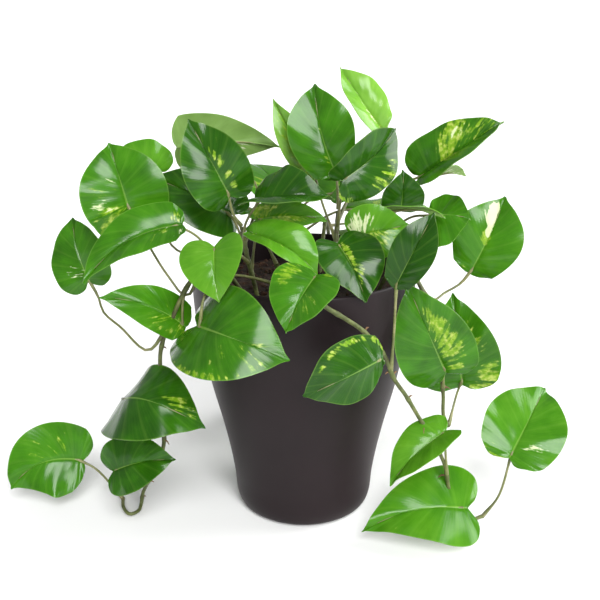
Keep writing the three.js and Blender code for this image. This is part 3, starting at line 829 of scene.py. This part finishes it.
def with_gold_and_cream(material, place, gold, pale, streaks, under, gold_shades, cream):
    """Streaks along the veins, broken into flecks: thick where the leaf is painted, rare elsewhere."""
    flecks = add_node(
        material, "TexNoise",
        {"Vector": place["Object"], "Scale": patches_of(FLECK_SIZE), "Detail": 3.0})["Fac"]
    broken = add_node(material, "Mix", {"Factor": 0.16, 2: streaks, 3: flecks})[0]
    gold_floor = add_node(material, "Math", {0: gold, 1: -0.3, 2: 0.68}, operation="MULTIPLY_ADD")
    gold_over = add_node(material, "Math", {0: broken, 1: gold_floor[0]}, operation="SUBTRACT")
    gold_mask = add_node(
        material, "MapRange", {"Value": gold_over[0], "From Min": 0.0, "From Max": 0.13, "To Max": 0.85},
        interpolation_type="SMOOTHSTEP")
    gold_colour = add_node(material, "ValToRGB", {0: flecks}, stops=gold_shades)
    gilded = add_node(
        material, "Mix", {"Factor": gold_mask[0], 6: under, 7: gold_colour[0]}, data_type="RGBA")
    pale_floor = add_node(material, "Math", {0: pale, 1: -0.4, 2: 0.8}, operation="MULTIPLY_ADD")
    pale_over = add_node(material, "Math", {0: broken, 1: pale_floor[0]}, operation="SUBTRACT")
    pale_mask = add_node(
        material, "MapRange", {"Value": pale_over[0], "From Min": 0.0, "From Max": 0.08, "To Max": 0.85},
        interpolation_type="SMOOTHSTEP")
    creamy = add_node(material, "Mix", {"Factor": pale_mask[0], 6: gilded[2], 7: cream}, data_type="RGBA")
    return creamy[2]


def with_midrib_and_margin(material, vein, reach, under):
    """A pale line on the midrib, some 1.5 mm wide at the stalk, and a pale hairline round the blade."""
    rib_width = add_node(
        material, "MapRange",
        {"Value": vein, "From Min": 0.0, "From Max": 1.0, "To Min": 0.035, "To Max": 0.012})
    rib_share = add_node(material, "Math", {0: reach, 1: rib_width[0]}, operation="DIVIDE")
    rib_mask = add_node(
        material, "MapRange",
        {"Value": rib_share[0], "From Min": 1.3, "From Max": 0.4, "To Min": 0.0, "To Max": 0.32},
        interpolation_type="SMOOTHSTEP")
    ribbed = add_node(
        material, "Mix", {"Factor": rib_mask[0], 6: under, 7: linear(MIDRIB_GREEN)}, data_type="RGBA")
    margin_mask = add_node(
        material, "MapRange",
        {"Value": reach, "From Min": 0.965, "From Max": 0.995, "To Min": 0.0, "To Max": 0.18},
        interpolation_type="SMOOTHSTEP")
    edged = add_node(
        material, "Mix", {"Factor": margin_mask[0], 6: ribbed[2], 7: linear(MARGIN_GREEN)},
        data_type="RGBA")
    return edged[2]


def finish_flesh(material, colour, relief, roughness, clear):
    """Waxed skin over flesh that lets a share of the light, clear, through in a yellower green."""
    # Leaf wax has an IOR near 1.45; a slightly lower one matches this plant's softer gloss.
    skin = add_node(
        material, "BsdfPrincipled",
        {"Base Color": colour, "Roughness": roughness, "IOR": 1.37, "Normal": relief[0]})
    lit_through = add_node(
        material, "Mix", {"Factor": 0.5, 6: colour, 7: linear(LIT_THROUGH_GREEN)}, data_type="RGBA")
    glow = add_node(material, "BsdfTranslucent", {"Color": lit_through[2]})
    flesh = add_node(material, "MixShader", {0: clear, 1: skin[0], 2: glow[0]})
    add_node(material, "OutputMaterial", {"Surface": flesh[0]})


def blade_surface(name, shades, gold_shades, cream, roughness, clear):
    """A leaf surface, mapped along its veins, with each leaf's colours from its attribute paint."""
    material = new_material(name)
    place = add_node(material, "TexCoord")
    axes = add_node(material, "SeparateXYZ", {0: place["UV"]})
    side = add_node(material, "Math", {0: axes[1], 1: 2.0, 2: -1.0}, operation="MULTIPLY_ADD")
    reach = add_node(material, "Math", {0: side[0]}, operation="ABSOLUTE")
    paint = add_node(material, "Attribute", attribute_name="paint")
    dabs = add_node(material, "SeparateColor", {0: paint["Color"]})
    gold, pale, tone = dabs[0], dabs[1], dabs[2]

    streaks = vein_streaks(material, place)
    fine_veins = add_node(
        material, "TexWave",
        {"Vector": place["UV"], "Scale": WAVE_PER_PERIOD * FINE_VEINS, "Distortion": 1.6, "Detail": 1.0,
         "Detail Scale": 0.4}, bands_direction="X")["Fac"]
    green = leaf_green(material, place, tone, streaks, shades)
    veined = with_side_veins(material, place, fine_veins, green)
    streaked = with_gold_and_cream(material, place, gold, pale, streaks, veined, gold_shades, cream)
    colour = with_midrib_and_margin(material, axes[0], reach[0], streaked)

    # Relief too fine for the mesh: the finest veins and the flesh between them.
    height = add_node(material, "Math", {0: fine_veins, 1: streaks}, operation="ADD")
    relief = add_node(
        material, "Bump", {"Height": height[0], "Strength": 0.12, "Distance": FINE_RELIEF * MM})
    finish_flesh(material, colour, relief, roughness, clear)
    return material


SHADE_SIZE = 11.1  # patches of a stem's or the soil's shades
SPECKLE_SIZE = 1.11  # pores and grains; real ones are under 0.5 mm, drawn coarser to show


def grown_skin(name, stops, roughness, grain):
    """A rough natural skin: mixed shades, with speckle and shallow pits as deep as grain."""
    material = new_material(name)
    place = add_node(material, "TexCoord")
    patches = add_node(
        material, "TexNoise",
        {"Vector": place["Object"], "Scale": patches_of(SHADE_SIZE), "Detail": 4.0, "Roughness": 0.65})
    colour = add_node(material, "ValToRGB", {0: patches["Fac"]}, stops=stops)
    speckle = add_node(
        material, "TexNoise",
        {"Vector": place["Object"], "Scale": patches_of(SPECKLE_SIZE), "Detail": 3.0})
    relief = add_node(
        material, "Bump", {"Height": speckle["Fac"], "Strength": grain, "Distance": 0.4 * MM})
    skin = add_node(
        material, "BsdfPrincipled",
        {"Base Color": colour[0], "Roughness": roughness, "IOR": 1.45, "Normal": relief[0]})
    add_node(material, "OutputMaterial", {"Surface": skin[0]})
    return material


HANDLING_SIZE = 71.4  # rubbed and less rubbed stretches of the pot
PEEL_SIZE = 1.43  # orange peel; on a real pot it is some 0.3 mm, drawn coarser to show


def moulded_plastic(name, stops):
    """Injection-moulded polypropylene: satin, with an orange-peel skin and slightly uneven gloss."""
    material = new_material(name)
    place = add_node(material, "TexCoord")
    handling = add_node(
        material, "TexNoise",
        {"Vector": place["Object"], "Scale": patches_of(HANDLING_SIZE), "Detail": 4.0})
    colour = add_node(material, "ValToRGB", {0: handling["Fac"]}, stops=stops)
    wear = add_node(material, "MapRange", {"Value": handling["Fac"], "To Min": 0.46, "To Max": 0.54})
    peel = add_node(
        material, "TexNoise", {"Vector": place["Object"], "Scale": patches_of(PEEL_SIZE), "Detail": 2.0})
    relief = add_node(material, "Bump", {"Height": peel["Fac"], "Strength": 0.12, "Distance": 0.3 * MM})
    # Polypropylene's IOR is 1.49. The grain shades itself and dulls the gloss, so it is set lower.
    skin = add_node(
        material, "BsdfPrincipled",
        {"Base Color": colour[0], "Roughness": wear[0], "IOR": 1.32, "Sheen Weight": 0.05,
         "Sheen Roughness": 0.3, "Sheen Tint": linear("#e0d0d4"), "Normal": relief[0]})
    add_node(material, "OutputMaterial", {"Surface": skin[0]})
    return material


# Upper side of a leaf: a smooth wax over deep green, so highlights are sharp and white.
waxy_upper_side = blade_surface(
    "waxy upper side of leaf",
    shades=ramp((0.0, "#173f06"), (0.2, "#235209"), (0.45, "#3b780f"), (0.7, "#569020"),
                (1.0, "#80b345")),
    gold_shades=ramp((0.35, "#6c9a1a"), (0.52, "#8caf2c"), (0.68, "#bccb62")),
    cream=linear("#dbe4b4"), roughness=0.17, clear=0.16)

# Underside: matt and paler, because the wax is thin and air lies under the skin.
matt_under_side = blade_surface(
    "matt underside of leaf",
    shades=ramp((0.0, "#476b35"), (0.5, "#66893f"), (1.0, "#93b668")),
    gold_shades=ramp((0.35, "#b4c36a"), (0.75, "#e0e3b0")),
    cream=linear("#dde3c2"), roughness=0.5, clear=0.14)

# Leaf stalk: smooth and juicy, so it is olive green with a soft shine.
smooth_green_stalk = grown_skin(
    "smooth leaf stalk", ramp((0.3, "#53592f"), (0.5, "#6d7242"), (0.7, "#8b8660")), 0.4, 0.15)

# Vine: olive green going woody, so it is duller and browner.
woody_green_vine = grown_skin(
    "woody green vine",
    ramp((0.32, "#3f3a22"), (0.48, "#4c562a"), (0.62, "#656c3c"), (0.75, "#857a5a")), 0.55, 0.5)

# Air root: dry and corky, so it is brown and quite dull.
dry_air_root = grown_skin("dry air root", ramp((0.35, "#4b3320"), (0.65, "#8a6a48")), 0.8, 0.8)

# Potting soil: damp peat, nearly black, that scatters what light it gets.
damp_peat = grown_skin(
    "damp peat", ramp((0.3, "#150d0a"), (0.55, "#2b1c15"), (0.75, "#45301f")), 0.9, 1.0)

# Crumbs: composted bark, a little redder and drier than the peat.
composted_bark = grown_skin(
    "composted bark", ramp((0.3, "#22140e"), (0.55, "#3f2719"), (0.75, "#6b4a33")), 0.85, 0.8)

# Pot: dark brown polypropylene, so it is nearly black with a faint warm shine.
moulded_brown_plastic = moulded_plastic(
    "moulded brown polypropylene", ramp((0.3, "#150b0e"), (0.7, "#1b1013")))

# ---- the plant ----

add_pot()
add_soil()
for stem in STEMS:
    walk = add_vine(stem)
    for number, leaf in enumerate(stem["leaves"], 1):
        add_leaf(stem["name"], number, {**USUAL, **leaf}, walk, stem["radius"])

# ---- studio ----

FLOOR_SIZE = 40  # metres, so that its edge lies far outside the picture
FLOOR_DROP = 0.5  # the floor lies this far below the pot, so that the two don't flicker
PAPER_WHITE = 0.92
STUDIO_FILL = 0.35  # light from all round
CAMERA_PLACE = (-0.003, -0.707, 0.4269)
CAMERA_TILT = 70.5  # degrees from looking straight down
CAMERA_LENS = 56.25  # mm, for a sensor 36 mm wide
CAMERA_SENSOR = 36
CAMERA_REACH = 100  # metres, past the floor's far edge

bpy.ops.object.select_all(action="DESELECT")
bpy.ops.mesh.primitive_plane_add(size=FLOOR_SIZE, location=(0, 0, -FLOOR_DROP * MM))
floor = bpy.context.object
floor.name = "floor"
white_paper = new_material("matt white studio paper")
paper = add_node(white_paper, "BsdfDiffuse", {"Color": (PAPER_WHITE, PAPER_WHITE, PAPER_WHITE, 1)})
add_node(white_paper, "OutputMaterial", {"Surface": paper[0]})
floor.data.materials.append(white_paper)

world = bpy.data.worlds.new("white studio")
world.use_nodes = True
fill = world.node_tree.nodes["Background"]
fill.inputs["Color"].default_value = (1, 1, 1, 1)
fill.inputs["Strength"].default_value = STUDIO_FILL
bpy.context.scene.world = world


def add_softbox(name, azimuth, elevation, energy, spread):
    """A far, round softbox. azimuth turns from the camera's side to the right, all in degrees."""
    light = bpy.data.lights.new(name, "SUN")
    light.energy = energy
    light.angle = math.radians(spread)
    lamp = bpy.data.objects.new(name, light)
    bpy.context.collection.objects.link(lamp)
    turn = math.radians(azimuth)
    rise = math.radians(elevation)
    way = Vector((math.sin(turn) * math.cos(rise), -math.cos(turn) * math.cos(rise), math.sin(rise)))
    lamp.location = way
    lamp.rotation_euler = way.to_track_quat("Z", "Y").to_euler()


add_softbox("front softbox", azimuth=10, elevation=42, energy=2.9, spread=30)
add_softbox("right softbox", azimuth=100, elevation=45, energy=1.5, spread=30)
add_softbox("window beside the camera", azimuth=26, elevation=20, energy=1.3, spread=20)
add_softbox("low softbox on the right", azimuth=100, elevation=6, energy=4, spread=50)

camera = bpy.data.objects.new("camera", bpy.data.cameras.new("camera"))
bpy.context.collection.objects.link(camera)
camera.location = CAMERA_PLACE
camera.rotation_euler = (math.radians(CAMERA_TILT), 0, 0)
camera.data.lens = CAMERA_LENS
camera.data.sensor_width = CAMERA_SENSOR
camera.data.clip_end = CAMERA_REACH
bpy.context.scene.camera = camera
bpy.context.scene.view_settings.view_transform = "Standard"
